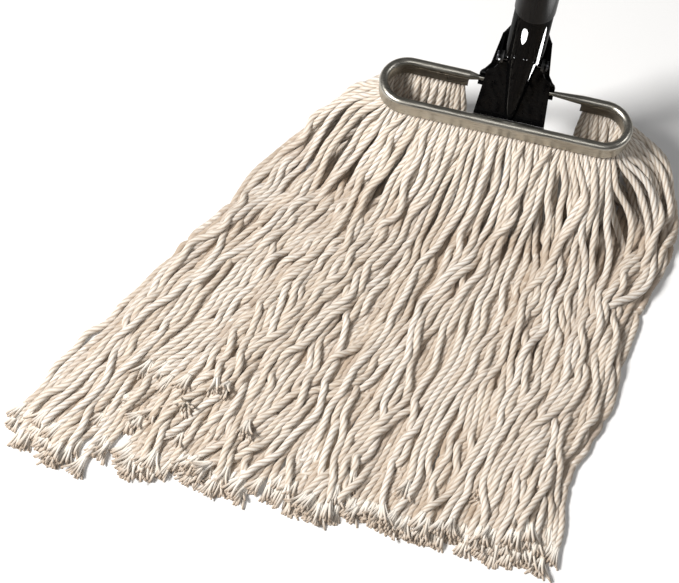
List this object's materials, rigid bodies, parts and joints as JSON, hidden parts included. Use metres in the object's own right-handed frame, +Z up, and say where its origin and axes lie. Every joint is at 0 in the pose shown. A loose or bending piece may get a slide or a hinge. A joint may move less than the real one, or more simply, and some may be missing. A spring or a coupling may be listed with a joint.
{
  "type": "string mop",
  "caption": "String mop: cotton yarn skirt gripped in a stadium-shaped steel ring, stamped black holder with a sprung release lever, and a long straight pole.",
  "frame": {"origin": "on the floor, at the middle of the mop's footprint", "axes": "+Z up along the pole, X along the ring, yarn tips towards -Y, release lever on the +Y side"},
  "size_m": [0.3716, 0.3161, 1.2985],
  "materials": {
    "stainless": "brushed",
    "black_gloss": "gloss",
    "pole_black": "satin",
    "zinc": "black zinc",
    "spring_steel": "bright",
    "nylon": "satin",
    "cap_plastic": "satin",
    "cotton": "raw cotton yarn",
    "tape": "woven tape",
    "thread": "thread"
  },
  "bodies": {
    "mop": {"ring_frame": "stainless", "ring_saddle": "stainless", "front_shell": "black_gloss", "pivot_pin": "zinc", "pin_retainer": "zinc", "pin_spacers": "nylon", "torsion_spring": "spring_steel", "pole_tube": "pole_black", "pole_screw": "zinc", "pole_end_cap": "cap_plastic", "heading_tape": "tape", "heading_cord": "cotton", "heading_stitches": "thread", "yarn_left_end": "cotton", "yarn_front_1": "cotton", "yarn_front_2": "cotton", "yarn_front_3": "cotton", "yarn_front_4": "cotton", "yarn_front_5": "cotton", "yarn_front_6": "cotton", "yarn_right_end": "cotton", "yarn_rear_left": "cotton", "yarn_rear_right": "cotton"},
    "lever": {"release_lever": "black_gloss"}
  },
  "joints": [
    {"name": "lever_pivot", "type": "hinge", "parent": "mop", "child": "lever", "pos_m": [0.062, 0.134, 0.109], "axis": [1, 0, 0], "range_deg": [0, 12], "stiffness_Nm_per_rad": 0.6, "springref_deg": -34.38, "deforming": ["torsion_spring"]}
  ]
}
